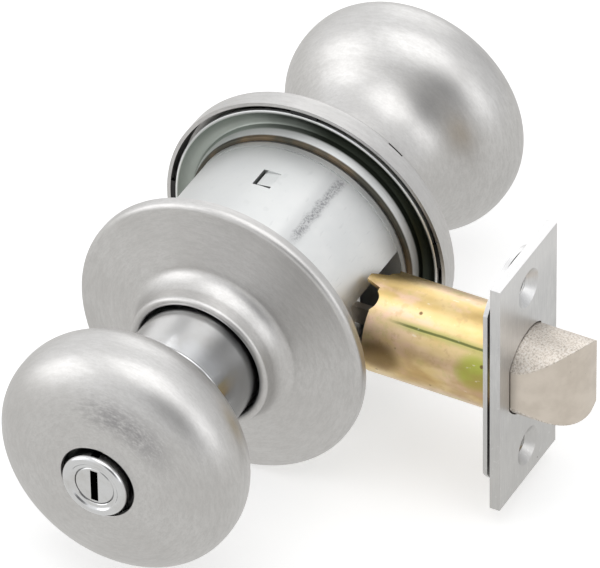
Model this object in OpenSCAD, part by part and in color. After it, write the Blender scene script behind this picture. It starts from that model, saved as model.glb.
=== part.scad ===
// Cylindrical knob lockset with a privacy function: two round knobs on a bored
// door, a chassis between them and a spring latch that the knobs draw back.
// Origin: where the spindle axis crosses the latch axis, mid door.
// +X runs to the door edge, +Y to the room side, +Z up. Millimetres.

/* [Door] */
// Thickness of the door that the roses clamp
door_t = 34.9; // [34:0.1:37]
// Distance from the spindle axis to the front of the faceplate
backset = 60.3; // [60:0.1:64]

/* [Roses] */
// Outer diameter of each rose
rose_d = 65; // [64:0.5:67]
// Height of a rose's collar above the door face
rose_h = 12; // [11.5:0.1:12.5]
// Diameter of the hole that the knob shank passes through
rose_hole_d = 27.9; // [27.6:0.1:28.4]
// Thickness of the sheet that the roses are pressed from
rose_t = 0.8; // [0.7:0.05:0.9]

/* [Knobs] */
// Largest diameter of a knob
knob_d = 53.6; // [52:0.2:56]
// Distance from the door face to the widest part of a knob
knob_reach = 41.85; // [41.5:0.05:43]
// How much farther from the door the inside knob stands
inside_extra = 2.3; // [1.5:0.1:3]
// Depth of a knob in front of its widest part
knob_front = 12; // [11:0.1:13]
// Depth of a knob behind its widest part
knob_back = 15; // [14:0.1:15.4]
// Thickness of the shell of a knob
knob_t = 1.4; // [1:0.1:1.6]
// Outer diameter of the polished shank under each knob
shank_d = 26.7; // [26.2:0.1:26.8]
// Diameter of the hole in the face of each knob
face_hole_d = 16.6; // [16:0.1:17]

/* [Chassis] */
// Outer diameter of the chassis, for a 54 mm cross bore
housing_d = 50; // [49.6:0.1:50.4]
// Length of the chassis shell along the spindle
housing_l = 26; // [25.6:0.1:26.4]
// Thickness of the chassis sheet
housing_t = 1.2; // [1:0.1:1.3]
// Outer diameter of the spindle tubes
spindle_d = 19.6; // [19.4:0.1:19.8]

/* [Latch] */
// Outer diameter of the latch tube
tube_d = 21.3; // [21.2:0.1:21.6]
// Thickness of the wall of the latch tube
tube_t = 0.75; // [0.7:0.05:0.8]
// How far the bolt stands out of the faceplate
throw = 12.7; // [12.7]
// Width of the faceplate, across the door edge
face_w = 25.4; // [25:0.1:26]
// Height of the faceplate
face_h = 57.15; // [57:0.05:57.3]
// Thickness of the faceplate
face_t = 2.3; // [2.2:0.05:2.4]
// Distance between the two faceplate screws
screw_pitch = 41.3; // [41:0.1:41.6]
// Diameter of the faceplate screw holes
screw_hole_d = 4.6; // [4.4:0.1:4.8]

/* [Privacy lock] */
// Travel of the push button
button_travel = 3; // [3]
// Diameter of the push button
button_d = 8.6; // [8.4:0.1:8.8]
// Width of the coin slot in the emergency turn
slot_w = 1.65; // [1.5:0.05:1.8]

/* [Hidden] */
$fn = 96;

door_face = door_t / 2;
hair = 0.01;
play = 0.3;
running_fit = 0.05;

housing_r = housing_d / 2;
housing_in = housing_r - housing_t;
housing_end = housing_l / 2;
cap_t = 1.4;
cap_out = housing_end + cap_t;
hub_in = spindle_d / 2 + running_fit;
hub_r = 11.6;
hub_end = 30;
collar_in = 17;
collar_r = 18.8;
collar_end = door_face + 3.8;
latch_gap = 7.6;

rose_r = rose_d / 2;
rose_hole = rose_hole_d / 2;
rim_in = rose_r - rose_t;
cone_out = rose_r - 1.1;
collar_foot = 19.5;
plate_y = door_face + 1.2;
plate_t = 1;
screw_z = 15.2;
screw_r = 2;

knob_r = knob_d / 2;
back_power = 2.2;
front_power = 2.6;
shank_r = shank_d / 2;
shank_t = 1.2;
shank_start = 24;
lip_r = 14.2;
neck_r = 14.8;
flare_r = 21;
face_hole = face_hole_d / 2;

spindle_r = spindle_d / 2;
spindle_t = 1.4;
spindle_start = 8;
cam_start = 4.6;
cam_w = 4;
cam_reach = 12.2;
bar_hole = 2.2;

catch_r = 2;
catch_base = 6.6;
seat_z = -2.2;

plug_r = 4.35;
bezel_r = 7.25;
insert_t = 1.5;

bar_r = 1.2;
dog_y = 11.5;

tube_r = tube_d / 2;
tube_in = tube_r - tube_t;
tube_start = 27.7;
prong_start = 24.2;
back_t = 1;
back_x = backset - face_t - 0.9 - back_t;
back_w = 24;
back_arc = 14;
back_h = 27.3;

bolt_r = tube_in - play;
bolt_near = -8.2;
bolt_far = 5.5;
bolt_rear = 49;
nose_r = throw + 0.1;
nose_y = bolt_near + nose_r;
tail_w = 4.2;
tail_t = 1.6;
tail_end = 55;

pad_x = -2.6;
pad_t = 2.5;
arm_z = 12.9;
arm_top = 14.6;
arm_y = 7.6;
body_x = 10;
body_end = 20;
body_y = 3.6;
seat_x = -21.3;
spring_z = 6.5;

guide_x = 28.6;
guide_t = 2;

steel = "silver";
satin = [0.72, 0.71, 0.70];
chrome = [0.82, 0.83, 0.84];
zinc = [0.80, 0.82, 0.80];
dichromate = [0.83, 0.70, 0.42];

// Distances from the door's middle that differ between the two sides.
// side is 1 for the inside of the door and -1 for the outside.
function knob_mid(side) = door_face + knob_reach + (side > 0 ? inside_extra : 0);
function knob_end(side) = knob_mid(side) + knob_front;
function bezel_out(side) = knob_end(side) + 1.6;
function insert_y(side) = knob_end(side) - 8;
function neck_y(side) = side > 0 ? 36 : 43.4;
function lip_end(side) = neck_y(side) - 0.4;
function spindle_end(side) = side > 0 ? 46.6 : 44;
function catch_y(side) = side > 0 ? 38.6 : 34;
function catch_tip(side) = side > 0 ? 14.2 : 12.9;

// The inside rose has a deeper skirt and a flatter cone
function cone_h(side) = side > 0 ? 5.2 : 2.6;
function cone_rise(side) = side > 0 ? 1.2 : 2.6;

button_seat = insert_y(1) - 12;
bar_out = insert_y(-1) - 1.2 - button_travel - play;

// Points of an arc about (cx, cy), from angle a0 to a1
function arc(cx, cy, r, a0, a1, n = 8) =
    [for (i = [0:n]) let (a = a0 + (a1 - a0) * i / n) [cx + r * cos(a), cy + r * sin(a)]];

// Half of a knob's outline: radius against distance from its widest part
function dome(r, depth, power, a0, a1, n = 18) =
    [for (i = [0:n]) let (a = a0 + (a1 - a0) * i / n)
        [r * pow(cos(a), 2 / power), depth * pow(sin(a), 2 / power)]];

// Angle at which a dome of radius r has narrowed to the radius to
function dome_angle(r, to, power) = acos(pow(to / r, power / 2));

// Turns a profile of (radius, distance) about the spindle axis
module about_spindle(side) {
    mirror([0, side < 0 ? 1 : 0, 0]) rotate([-90, 0, 0]) rotate_extrude() children();
}

module ring(side, r0, r1, y0, y1) {
    about_spindle(side) translate([r0, y0]) square([r1 - r0, y1 - y0]);
}

// A rod along Y, at (x, z)
module rod_y(x, z, r, y0, y1) {
    translate([x, y0, z]) rotate([-90, 0, 0]) cylinder(r = r, h = y1 - y0);
}

// A rod along X on the latch axis
module rod_x(r, x0, x1) {
    translate([x0, 0, 0]) rotate([0, 90, 0]) cylinder(r = r, h = x1 - x0);
}

// A box between two corners
module block(low, high) {
    translate(low) cube(high - low);
}

// Round wire wound along +Z from the origin
module coil(r, wire, length, turns) {
    sides = 8;
    steps = round(turns * 12);
    rise = (length - wire) / steps;
    points = [for (i = [0:steps], k = [0:sides - 1])
        let (a = 360 * turns * i / steps, b = 360 * k / sides, q = r + wire / 2 * cos(b))
        [q * cos(a), q * sin(a), wire / 2 + rise * i + wire / 2 * sin(b)]];
    walls = [for (i = [0:steps - 1], k = [0:sides - 1])
        let (j = (k + 1) % sides)
        [i * sides + k, (i + 1) * sides + k, (i + 1) * sides + j, i * sides + j]];
    ends = [[for (k = [0:sides - 1]) k],
        [for (k = [sides - 1:-1:0]) steps * sides + k]];
    polyhedron(points, concat(walls, ends), convexity = 10);
}

// ---- Chassis ----

module housing_shell() {
    color(zinc) difference() {
        rotate([90, 0, 0]) cylinder(r = housing_r, h = housing_l, center = true);
        rotate([90, 0, 0]) cylinder(r = housing_in, h = housing_l + 1, center = true);
        // Mouth for the latch, open to the inside end
        block([10, -latch_gap, -latch_gap], [housing_r + 1, housing_end + 1, latch_gap]);
        // Window of the lanced tab
        block([-2.6, 0, housing_in - 2], [1.4, 5.2, housing_r + 1]);
    }
    // Lanced tab, bent down into the window from its far side
    color(zinc) intersection() {
        block([-1.7, 0.9, housing_in - 2], [1.4, 5.2, housing_r]);
        translate([1.4, 0, housing_r]) rotate([0, -10, 0])
            translate([-3.2, 0.9, -housing_t]) cube([4, 5, housing_t]);
    }
}

module housing_cap(side) {
    ring(side, hub_in, housing_r, housing_end, cap_out);
    ring(side, hub_in, hub_r, cap_out - hair, hub_end);
}

module housing_cap_outside() {
    color(zinc) union() {
        housing_cap(-1);
        ring(-1, collar_in, collar_r, cap_out - hair, collar_end);
    }
}

module housing_cap_inside() {
    color(zinc) difference() {
        housing_cap(1);
        for (z = [-screw_z, screw_z]) rod_y(0, z, screw_r, housing_end - 1, cap_out + 1);
    }
}

// Block against the wall of the chassis that the retractor springs push on
module spring_seat() {
    color(zinc) intersection() {
        block([-housing_r, -body_y, -8.5], [seat_x, body_y, 8.5]);
        rotate([90, 0, 0]) cylinder(r = housing_in, h = 20, center = true);
    }
}

// ---- Roses ----

// Radius and height of a rose's cone, from its rim in to the foot of its collar
function cone_line(side, drop) = [for (i = [0:8]) let (u = i / 8)
    [cone_out + (collar_foot - cone_out) * u, cone_h(side) + cone_rise(side) * pow(u, 1.2) - drop]];

// Hollow curve from the cone up the side of the collar
function flank_line(side, inset) = let (foot = cone_h(side) + cone_rise(side) - inset)
    [for (a = [10:13:75]) [collar_foot - inset - 3.55 * sin(a), foot + 5.6 * (1 - cos(a))]];

function reversed(list) = [for (i = [len(list) - 1:-1:0]) list[i]];

// Pressed rose: a rolled rim, a shallow cone and a collar round the hole
module rose(side) {
    about_spindle(side) translate([0, door_face]) polygon(concat(
        [[rose_r, 0]],
        arc(rose_r - 1.4, cone_h(side) - 1.4, 1.4, 0, 70, 6),
        cone_line(side, 0),
        flank_line(side, 0),
        arc(rose_hole + 1, rose_h - 1, 1, 0, 180, 10),
        [[rose_hole, rose_h - 1.8], [14.7, rose_h - 1.8], [14.7, rose_h - 1.1], [15.15, rose_h - 1.3]],
        reversed(flank_line(side, rose_t)),
        reversed(cone_line(side, rose_t)),
        [[rim_in, cone_h(side) - 1.5], [rim_in, 0]]));
}

module outside_rose() {
    color(satin) rose(-1);
}

module inside_rose() {
    color(satin) rose(1);
}

// Nut plate pressed into the outside rose, which runs on the chassis collar
module outside_rose_liner() {
    y = door_face + 0.2;
    color(zinc) union() {
        ring(-1, collar_r + 0.1, rim_in, y, y + 1);
        ring(-1, collar_r + 0.1, collar_r + 1.5, y, y + 3.4);
    }
}

// Dished plate that the two screws clamp on the inside face of the door
module mounting_plate() {
    y = door_face;
    color(zinc) difference() {
        about_spindle(1) polygon([
            [30, y], [30.6, y], [30.6, y + 0.9], [27.3, plate_y + plate_t],
            [12.6, plate_y + plate_t], [12.6, plate_y], [24.7, plate_y],
            [24.7, y - 2.8], [25.7, y - 2.8], [26.7, y + 1.1], [27.2, y + 1.1]]);
        for (z = [-screw_z, screw_z]) rod_y(0, z, screw_r, plate_y - 1, plate_y + 2);
    }
}

module mounting_screws() {
    head = plate_y + plate_t;
    color(steel) for (z = [-screw_z, screw_z]) difference() {
        union() {
            rod_y(0, z, screw_r, 9, head + hair);
            rod_y(0, z, 2.5, head, head + 1.4);
        }
        block([-3, head + 0.8, z - 0.4], [3, head + 2, z + 0.4]);
    }
}

// Three spring clips between the mounting plate and the inside rose
module rose_clips() {
    color(steel) for (a = [180, 270, 350]) rotate([0, a, 0]) intersection() {
        ring(1, 30.6, rim_in, door_face + 0.1, door_face + 0.9);
        block([20, 0, -3], [40, 40, 3]);
    }
}

// ---- Latch ----

module latch_tube() {
    color(dichromate) difference() {
        union() {
            rod_x(tube_r, tube_start, backset - face_t);
            // Prongs that reach the chassis, above and below
            for (s = [-1, 1]) intersection() {
                rod_x(tube_r, prong_start, tube_start + hair);
                block([prong_start, -2.2, s > 0 ? 5 : -12], [tube_start + 1, 2.2, s > 0 ? 12 : -5]);
            }
        }
        rod_x(tube_in, prong_start - 1, backset);
        // Scallops beside the prongs
        for (y = [-5, 5]) translate([tube_start - 1.2, y, 0])
            cylinder(r = 2.2, h = 30, center = true);
    }
}

module faceplate() {
    color(steel) difference() {
        block([backset - face_t, -face_w / 2, -face_h / 2], [backset, face_w / 2, face_h / 2]);
        intersection() {
            rod_x(bolt_r + play, backset - face_t - 1, backset + 1);
            block([backset - 5, bolt_near - play, -20], [backset + 5, bolt_far + play, 20]);
        }
        for (z = [-screw_pitch / 2, screw_pitch / 2]) translate([backset, 0, z]) rotate([0, -90, 0]) {
            cylinder(d = screw_hole_d, h = 10, center = true);
            translate([0, 0, -hair]) cylinder(r1 = 4.3, r2 = screw_hole_d / 2, h = 1.9);
        }
    }
}

// Plate behind the faceplate, with round ends
module latch_back_plate() {
    color(steel) difference() {
        intersection() {
            block([back_x, -back_w / 2, -back_h], [back_x + back_t, back_w / 2, back_h]);
            union() {
                for (z = [-1, 1]) translate([back_x, 0, z * (back_h - back_arc)]) rotate([0, 90, 0])
                    cylinder(r = back_arc, h = back_t);
                block([back_x, -20, back_arc - back_h], [back_x + back_t, 20, back_h - back_arc]);
            }
        }
        rod_x(tube_r, back_x - 1, back_x + 2);
        for (z = [-screw_pitch / 2, screw_pitch / 2]) translate([back_x, 0, z]) rotate([0, 90, 0])
            cylinder(d = screw_hole_d + 1.4, h = 10, center = true);
    }
}

// Disc across the tube that guides the tail and seats the bolt spring
module tube_guide() {
    color(steel) difference() {
        rod_x(tube_in, guide_x, guide_x + guide_t);
        block([guide_x - 1, -tail_t / 2 - play, -tail_w / 2 - play],
            [guide_x + guide_t + 1, tail_t / 2 + play, tail_w / 2 + play]);
    }
}

module latch_bolt() {
    color(satin) difference() {
        intersection() {
            rod_x(bolt_r, bolt_rear, backset + throw + 1);
            union() {
                block([bolt_rear, bolt_near, -20], [backset, bolt_far, 20]);
                // Rounded nose that the strike plate pushes on
                intersection() {
                    translate([backset, nose_y, 0]) cylinder(r = nose_r, h = 40, center = true);
                    block([backset - hair, bolt_near, -20], [backset + throw, bolt_far, 20]);
                }
            }
        }
        block([bolt_rear - 1, -tail_t / 2, -tail_w / 2], [tail_end, tail_t / 2, tail_w / 2]);
        rod_y(tail_end - 3, 0, 1.2, bolt_near - 1, bolt_far + 1);
    }
}

module bolt_tail() {
    color(steel) difference() {
        union() {
            block([15.6, -tail_t / 2, -tail_w / 2], [tail_end, tail_t / 2, tail_w / 2]);
            block([15.6, -3.2, -2.6], [17.2, 3.2, 2.6]);
        }
        rod_y(tail_end - 3, 0, 1.2, -5, 5);
    }
}

module tail_rivet() {
    color(steel) rod_y(tail_end - 3, 0, 1.2, bolt_near + 0.2, bolt_far - 0.2);
}

module bolt_spring() {
    color(steel) translate([guide_x + guide_t, 0, 0]) rotate([0, 90, 0])
        coil(6.4, 1, bolt_rear - guide_x - guide_t, 4.5);
}

// ---- Retractor ----

module retractor() {
    color(zinc) difference() {
        union() {
            block([body_x, -body_y, -9], [body_end, body_y, 9]);
            for (s = [-1, 1]) {
                // Riser, arm and the two pads that the spindle cams push on
                mirror([0, 0, s < 0 ? 1 : 0]) {
                    block([body_x, -body_y, 9 - hair], [body_x + 4, body_y, arm_z + hair]);
                    block([pad_x - pad_t, -arm_y, arm_z], [body_x + 4, arm_y, arm_top]);
                    for (y = [-arm_y, cam_start])
                        block([pad_x - pad_t, y, 5], [pad_x, y + arm_y - cam_start, arm_z + hair]);
                }
            }
        }
        // Slot round the locking bar, open at the back
        block([body_x - 1, -10, -3], [17.5, 10, 3]);
        // Slot for the neck of the tail
        block([17, -tail_t / 2 - play, -tail_w / 2 - play], [body_end + 1, tail_t / 2 + play, tail_w / 2 + play]);
    }
}

module retractor_springs() {
    color(steel) for (z = [-spring_z, spring_z]) translate([seat_x, 0, z]) rotate([0, 90, 0])
        coil(1.9, 0.7, body_x - seat_x, 9);
}

// ---- Knobs, alike on both sides of the door ----

// Hole for a knob catch, underneath
module catch_hole(side) {
    translate([0, side * catch_y(side), -18]) cylinder(r = catch_r + play, h = 12);
}

module spindle(side) {
    difference() {
        union() {
            ring(side, spindle_r - spindle_t, spindle_r, spindle_start, spindle_end(side));
            ring(side, bar_hole, spindle_r, spindle_start, spindle_start + 1.5);
            // Cam: a bar with an ear above and an ear below the axis
            mirror([0, side < 0 ? 1 : 0, 0]) difference() {
                block([-cam_w / 2, cam_start, -cam_reach], [cam_w / 2, spindle_start + hair, cam_reach]);
                rod_y(0, 0, bar_hole, 0, 20);
            }
            // Bridge across the tube that the catch spring pushes on
            translate([0, side * catch_y(side), 0]) block([-9, -3, seat_z], [9, 3, seat_z + 0.6]);
        }
        catch_hole(side);
    }
}

module shank(side) {
    difference() {
        union() {
            ring(side, shank_r - shank_t, shank_r, shank_start, lip_end(side));
            ring(side, shank_r - shank_t, lip_r, lip_end(side) - 1.2, lip_end(side));
        }
        catch_hole(side);
    }
}

// Hollow shell of a knob: a neck over the shank, a flattened ball and a hole in
// the face
module knob(side) {
    back = dome_angle(knob_r, flare_r, back_power);
    front = dome_angle(knob_r, face_hole, front_power);
    in_r = knob_r - knob_t;
    in_back = dome_angle(in_r, flare_r, back_power);
    in_front = dome_angle(in_r, face_hole, front_power);
    outer = concat(
        [for (p = dome(knob_r, knob_back, back_power, back, 0)) [p[0], knob_mid(side) - p[1]]],
        [for (p = dome(knob_r, knob_front, front_power, 2, front)) [p[0], knob_mid(side) + p[1]]]);
    inner = concat(
        [for (p = dome(in_r, knob_front - knob_t, front_power, in_front, 0)) [p[0], knob_mid(side) + p[1]]],
        [for (p = dome(in_r, knob_back - knob_t, back_power, 2, in_back)) [p[0], knob_mid(side) - p[1]]]);
    // Flare from the neck that runs into the back of the ball without a corner
    rise = outer[0][1] - neck_y(side);
    power = 1.48 * rise / (flare_r - neck_r);
    flare = [for (i = [0:8]) [
        neck_r + (flare_r - neck_r) * pow(i / 9, power), neck_y(side) + rise * i / 9]];
    difference() {
        about_spindle(side) polygon(concat(flare, outer, inner,
            [[shank_r, outer[0][1] + knob_t], [shank_r, neck_y(side)]]));
        catch_hole(side);
    }
}

// Disc inside a knob that joins its shell to the spindle tube
module knob_insert(side, hole) {
    in_r = knob_r - knob_t;
    y = insert_y(side);
    seat = in_r * pow(1 - pow((y - knob_mid(side) + insert_t) / (knob_front - knob_t), front_power),
        1 / front_power);
    union() {
        ring(side, hole, seat - 0.2, y, y + insert_t);
        ring(side, spindle_r, spindle_r + 1.6, spindle_end(side) - 5, y + hair);
    }
}

// Polished ring in the face of a knob
module bezel(side) {
    foot = insert_y(side) + insert_t;
    top = bezel_out(side);
    about_spindle(side) polygon(concat(
        [[plug_r + 0.1, foot], [bezel_r, foot]],
        arc(bezel_r - 0.9, top - 0.9, 0.9, 0, 90, 6),
        [[5.7, top], [5.3, top - 0.5], [plug_r + 0.1, top - 0.5]]));
}

// Pin of a knob catch, on a foot that its spring pushes down
module knob_catch(side) {
    translate([0, side * catch_y(side), 0]) {
        translate([0, 0, -catch_tip(side)]) cylinder(r = catch_r, h = catch_tip(side) - catch_base);
        translate([0, 0, -catch_base - 1]) cylinder(r = 3, h = 1);
    }
}

module catch_spring(side) {
    translate([0, side * catch_y(side), -catch_base]) coil(2.2, 0.5, catch_base + seat_z, 4);
}

module outside_spindle() {
    color(zinc) spindle(-1);
}

module inside_spindle() {
    color(zinc) spindle(1);
}

module outside_knob_shank() {
    color(chrome) shank(-1);
}

module inside_knob_shank() {
    color(chrome) shank(1);
}

module outside_knob() {
    color(satin) knob(-1);
}

module inside_knob() {
    color(satin) knob(1);
}

module outside_knob_insert() {
    color(zinc) knob_insert(-1, plug_r + 0.1);
}

module inside_knob_insert() {
    color(zinc) union() {
        knob_insert(1, button_d / 2 + play);
        // Seat of the button spring
        ring(1, bar_r + 0.4, spindle_r + hair, button_seat - 1.5, button_seat);
    }
}

module emergency_bezel() {
    color(chrome) bezel(-1);
}

module push_button_bezel() {
    color(chrome) bezel(1);
}

module outside_catch() {
    color(steel) knob_catch(-1);
}

module inside_catch() {
    color(steel) knob_catch(1);
}

module outside_catch_spring() {
    color(steel) catch_spring(-1);
}

module inside_catch_spring() {
    color(steel) catch_spring(1);
}

// ---- Privacy lock ----

// Slotted plug that a coin turns to free the button from outside
module emergency_turn() {
    color(chrome) difference() {
        union() {
            ring(-1, 0, plug_r + 0.1 - running_fit, insert_y(-1) - 1.2, bezel_out(-1) - 0.6);
            ring(-1, 0, plug_r + 2, insert_y(-1) - 1.2, insert_y(-1) - play);
        }
        block([-slot_w / 2, -bezel_out(-1) - 1, -3.75], [slot_w / 2, 2.2 - bezel_out(-1), 3.75]);
    }
}

module push_button() {
    color(chrome) union() {
        about_spindle(1) polygon(concat(
            [[0, insert_y(1) - 2], [button_d / 2, insert_y(1) - 2]],
            arc(button_d / 2 - 1, bezel_out(1) + 2.6, 1, 0, 90, 6), [[0, bezel_out(1) + 3.6]]));
        ring(1, 0, button_d / 2 + 1.4, insert_y(1) - 2, insert_y(1) - play);
    }
}

module push_button_spring() {
    color(steel) translate([0, button_seat, 0]) rotate([-90, 0, 0])
        coil(3.4, 0.7, insert_y(1) - 2 - button_seat, 4);
}

// Rod that carries the push of the button through both spindles
module locking_bar() {
    color(steel) rod_y(0, 0, bar_r, -bar_out, insert_y(1) - 2);
}

// Winged dog on the bar, which holds the outside spindle when it is pushed in
module locking_dog() {
    color(steel) difference() {
        union() {
            ring(-1, bar_r, 3.4, dog_y, dog_y + 1.6);
            block([-1.2, -dog_y - 1.6, -7.4], [1.2, -dog_y, 7.4]);
        }
        rod_y(0, 0, bar_r, -20, 20);
    }
}

housing_shell();
housing_cap_outside();
housing_cap_inside();
spring_seat();
outside_rose();
outside_rose_liner();
mounting_plate();
mounting_screws();
inside_rose();
rose_clips();
latch_tube();
faceplate();
latch_back_plate();
tube_guide();
outside_knob();
outside_knob_shank();
outside_spindle();
outside_knob_insert();
emergency_bezel();
emergency_turn();
outside_catch();
outside_catch_spring();
inside_knob();
inside_knob_shank();
inside_spindle();
inside_knob_insert();
push_button_bezel();
push_button();
push_button_spring();
locking_bar();
locking_dog();
inside_catch();
inside_catch_spring();
retractor();
retractor_springs();
latch_bolt();
bolt_tail();
tail_rivet();
bolt_spring();
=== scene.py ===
"""Looks of a cylindrical privacy lockset: two knobs, two roses, a chassis and a spring latch.

Lengths in this file are millimetres, turned to metres with MM where Blender takes them.
"""

import math

import bmesh
import bpy
from mathutils import Matrix, Vector


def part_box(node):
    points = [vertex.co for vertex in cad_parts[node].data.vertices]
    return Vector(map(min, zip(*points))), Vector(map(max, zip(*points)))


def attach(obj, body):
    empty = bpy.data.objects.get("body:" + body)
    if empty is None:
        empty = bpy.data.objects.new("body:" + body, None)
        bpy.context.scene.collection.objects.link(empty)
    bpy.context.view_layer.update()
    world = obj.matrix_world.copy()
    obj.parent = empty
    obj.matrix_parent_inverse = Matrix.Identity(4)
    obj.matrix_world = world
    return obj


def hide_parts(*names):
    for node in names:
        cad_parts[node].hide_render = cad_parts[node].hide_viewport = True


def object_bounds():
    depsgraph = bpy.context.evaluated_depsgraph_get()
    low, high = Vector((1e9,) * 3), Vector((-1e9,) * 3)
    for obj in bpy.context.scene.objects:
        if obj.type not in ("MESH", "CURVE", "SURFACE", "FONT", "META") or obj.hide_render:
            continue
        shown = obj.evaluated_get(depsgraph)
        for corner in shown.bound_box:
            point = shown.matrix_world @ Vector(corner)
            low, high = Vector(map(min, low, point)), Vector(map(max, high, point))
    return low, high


MM = 0.001

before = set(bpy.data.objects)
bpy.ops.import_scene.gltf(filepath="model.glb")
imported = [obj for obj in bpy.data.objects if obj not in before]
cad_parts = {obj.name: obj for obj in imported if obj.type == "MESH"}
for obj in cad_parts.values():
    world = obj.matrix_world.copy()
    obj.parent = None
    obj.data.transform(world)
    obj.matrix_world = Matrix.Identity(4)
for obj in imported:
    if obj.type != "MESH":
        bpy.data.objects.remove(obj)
frame_box = [list(corner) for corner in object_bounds()]


def low(node):
    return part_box(node)[0] / MM


def high(node):
    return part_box(node)[1] / MM


# ---- Sizes, read from the frame ----

DOOR = low("inside_rose").y  # face of the door, from its middle
ROSE_R = high("inside_rose").x
ROSE_TOP = high("inside_rose").y - DOOR
KNOB_R = high("inside_knob").x
SHANK_START = low("inside_knob_shank").y
LIP_R = high("inside_knob_shank").x
SHANK_R = LIP_R - 0.85
BEZEL_R = high("push_button_bezel").x
HOLE_R = BEZEL_R + 1.05
# Distances from the door's middle, by side: -1 outside and 1 inside
NECK = {-1: -high("outside_knob").y, 1: low("inside_knob").y}
SHANK_END = {-1: -low("outside_knob_shank").y, 1: high("inside_knob_shank").y}
BEZEL_START = {-1: -high("emergency_bezel").y, 1: low("push_button_bezel").y}
BEZEL_END = {-1: -low("emergency_bezel").y, 1: high("push_button_bezel").y}
KNOB_MID = {side: end - 1.6 - 12 for side, end in BEZEL_END.items()}
CATCH_Y = {side: (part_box(node)[0].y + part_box(node)[1].y) / 2 / MM
           for side, node in ((-1, "outside_catch"), (1, "inside_catch"))}
PLUG_END = -low("emergency_turn").y
BUTTON_END = high("push_button").y
BUTTON_FLOOR = low("push_button").y
SHELL_R = high("housing_shell").x
SHELL_END = high("housing_shell").y
PLATE_R = high("mounting_plate").x
TUBE_R = high("latch_tube").z
TUBE_WALL = 0.75
PRONG = low("latch_tube").x
FACE = high("faceplate")
FACE_BACK = low("faceplate").x
BACK_PLATE_LOW, BACK_PLATE_HIGH = low("latch_back_plate"), high("latch_back_plate")
BOLT_LOW, BOLT_HIGH = low("latch_bolt"), high("latch_bolt")
BOLT_R = BOLT_HIGH.z
SCREW_Z = 41.3 / 2


# ---- Modelling by hand ----


def put_down():
    """Leaves edit mode and lets go of every object."""
    if bpy.context.object and bpy.context.object.mode != "OBJECT":
        bpy.ops.object.mode_set(mode="OBJECT")
    bpy.ops.object.select_all(action="DESELECT")


def pick_up(piece):
    """Makes one object the only one that the next steps work on."""
    put_down()
    piece.select_set(True)
    bpy.context.view_layer.objects.active = piece


def settle(piece, name):
    """Writes a primitive's place and turn into its mesh, and names it."""
    piece.name = piece.data.name = name
    bpy.ops.object.transform_apply(location=True, rotation=True, scale=True)
    return piece


def box(name, low_corner, high_corner):
    put_down()
    a, b = Vector(low_corner), Vector(high_corner)
    bpy.ops.mesh.primitive_cube_add(size=1, location=(a + b) / 2 * MM)
    bpy.context.object.scale = (b - a) * MM
    return settle(bpy.context.object, name)


def rod(name, radius, start, end, vertices=96, tip_radius=None):
    """A rod or cone between two points."""
    put_down()
    a, b = Vector(start), Vector(end)
    turn = (b - a).to_track_quat("Z", "Y").to_euler()
    bpy.ops.mesh.primitive_cone_add(
        vertices=vertices, radius1=radius * MM,
        radius2=(radius if tip_radius is None else tip_radius) * MM,
        depth=(b - a).length * MM, location=(a + b) / 2 * MM, rotation=turn)
    return settle(bpy.context.object, name)


def turned(name, outline, side=1, axis="Y", steps=160):
    """A piece turned on a lathe: its outline, as (radius, distance along the axis), spun all round."""
    put_down()
    bpy.ops.mesh.primitive_plane_add(size=MM)
    piece = bpy.context.object
    bpy.ops.object.mode_set(mode="EDIT")
    bpy.ops.mesh.select_all(action="SELECT")
    bpy.ops.mesh.merge(type="CENTER")
    if axis == "Y":
        points = [Vector((r, d * side, 0)) * MM for r, d in outline]
        spin_axis = (0, 1, 0)
    else:
        points = [Vector((d, 0, r)) * MM for r, d in outline]
        spin_axis = (1, 0, 0)
    bpy.ops.transform.translate(value=points[0])
    for here, there in zip(points, points[1:] + points[:1]):
        bpy.ops.mesh.extrude_vertices_move(TRANSFORM_OT_translate={"value": there - here})
    bpy.ops.mesh.select_all(action="SELECT")
    bpy.ops.mesh.spin(steps=steps, angle=2 * math.pi, center=(0, 0, 0), axis=spin_axis)
    bpy.ops.mesh.select_all(action="SELECT")
    bpy.ops.mesh.remove_doubles(threshold=2e-6)
    bpy.ops.mesh.normals_make_consistent(inside=False)
    bpy.ops.object.mode_set(mode="OBJECT")
    return settle(piece, name)


def prism(name, corners, half_height):
    """A flat outline pulled up and down along Z."""
    put_down()
    bpy.ops.mesh.primitive_plane_add(size=MM)
    piece = bpy.context.object
    bpy.ops.object.mode_set(mode="EDIT")
    bpy.ops.mesh.select_all(action="SELECT")
    bpy.ops.mesh.merge(type="CENTER")
    bpy.ops.transform.translate(value=(corners[0] - Vector((0, 0, half_height))) * MM)
    for here, there in zip(corners, corners[1:] + corners[:1]):
        bpy.ops.mesh.extrude_vertices_move(TRANSFORM_OT_translate={"value": (there - here) * MM})
    bpy.ops.mesh.select_all(action="SELECT")
    bpy.ops.mesh.remove_doubles(threshold=1e-6)
    bpy.ops.mesh.edge_face_add()
    bpy.ops.mesh.select_all(action="SELECT")
    bpy.ops.mesh.extrude_region_move(TRANSFORM_OT_translate={"value": (0, 0, 2 * half_height * MM)})
    bpy.ops.mesh.select_all(action="SELECT")
    bpy.ops.mesh.normals_make_consistent(inside=False)
    bpy.ops.object.mode_set(mode="OBJECT")
    return settle(piece, name)


def apply(piece, modifier):
    bpy.context.view_layer.objects.active = piece
    bpy.ops.object.modifier_apply(modifier=modifier.name)


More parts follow.
